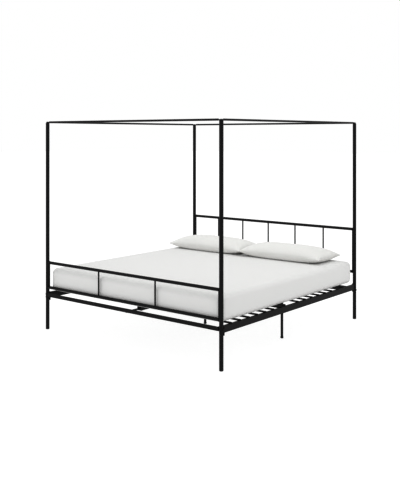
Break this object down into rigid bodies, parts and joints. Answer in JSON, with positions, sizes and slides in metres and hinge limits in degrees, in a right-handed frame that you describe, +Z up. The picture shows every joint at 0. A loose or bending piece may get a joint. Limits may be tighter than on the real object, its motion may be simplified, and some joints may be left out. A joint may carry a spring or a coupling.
{
  "type": "four poster canopy bed",
  "caption": "Black steel tube canopy bed with low footboard, spindled headboard, slatted base, mattress and pillows.",
  "frame": {"origin": "on the floor, at the middle of the four posts", "axes": "+Z up, +Y towards the headboard, +X to the right when standing at the foot looking at the head"},
  "size_m": [1.9958, 2.1108, 1.8565],
  "materials": {
    "frame_steel": "black powder coat, satin",
    "black_fasteners": "black oxide",
    "zinc_insert": "zinc plated",
    "black_plastic": "matte moulded plastic",
    "mattress_fabric": "white knitted cover",
    "pillow_fabric": "white woven cotton"
  },
  "bodies": {
    "frame": {"post_foot_left": "frame_steel", "post_foot_right": "frame_steel", "post_head_left": "frame_steel", "post_head_right": "frame_steel", "post_glides": "black_plastic", "post_inserts": "zinc_insert", "canopy_caps": "frame_steel", "canopy_rail_foot": "frame_steel", "canopy_rail_head": "frame_steel", "canopy_rail_left": "frame_steel", "canopy_rail_right": "frame_steel", "headboard_top_rail": "frame_steel", "headboard_low_rail": "frame_steel", "headboard_spindle_1": "frame_steel", "headboard_spindle_2": "frame_steel", "headboard_spindle_3": "frame_steel", "headboard_spindle_4": "frame_steel", "headboard_spindle_5": "frame_steel", "headboard_stile_left": "frame_steel", "headboard_stile_right": "frame_steel", "footboard_top_rail": "frame_steel", "footboard_low_rail": "frame_steel", "footboard_spindle_left": "frame_steel", "footboard_spindle_right": "frame_steel", "footboard_stile_left": "frame_steel", "footboard_stile_right": "frame_steel", "board_bolts": "black_fasteners", "end_rail_foot": "frame_steel", "end_rail_head": "frame_steel", "side_rail_left": "frame_steel", "side_rail_right": "frame_steel", "post_hook_plates": "frame_steel", "rail_end_plates": "frame_steel", "frame_bolts": "black_fasteners", "centre_rail": "frame_steel", "centre_rail_bolts": "black_fasteners", "leg_centre": "frame_steel", "leg_left": "frame_steel", "leg_right": "frame_steel", "leg_feet": "black_plastic", "slat_1": "frame_steel", "slat_2": "frame_steel", "slat_3": "frame_steel", "slat_4": "frame_steel", "slat_5": "frame_steel", "slat_6": "frame_steel", "slat_7": "frame_steel", "slat_8": "frame_steel", "slat_9": "frame_steel", "slat_10": "frame_steel", "slat_11": "frame_steel", "slat_12": "frame_steel", "slat_13": "frame_steel", "slat_14": "frame_steel", "cross_bar_middle": "frame_steel", "cross_bar_head": "frame_steel", "slat_screws": "black_fasteners"},
    "mattress": {"mattress": "mattress_fabric"},
    "pillow_left": {"pillow_left": "pillow_fabric"},
    "pillow_right": {"pillow_right": "pillow_fabric"}
  },
  "joints": [
    {"name": "mattress_lift", "type": "slide", "parent": "frame", "child": "mattress", "axis": [0, 0, 1], "range_m": [0, 1.55]},
    {"name": "pillow_left_lift", "type": "slide", "parent": "mattress", "child": "pillow_left", "axis": [0, 0, 1], "range_m": [0, 1.35]},
    {"name": "pillow_right_lift", "type": "slide", "parent": "mattress", "child": "pillow_right", "axis": [0, 0, 1], "range_m": [0, 1.35]}
  ]
}
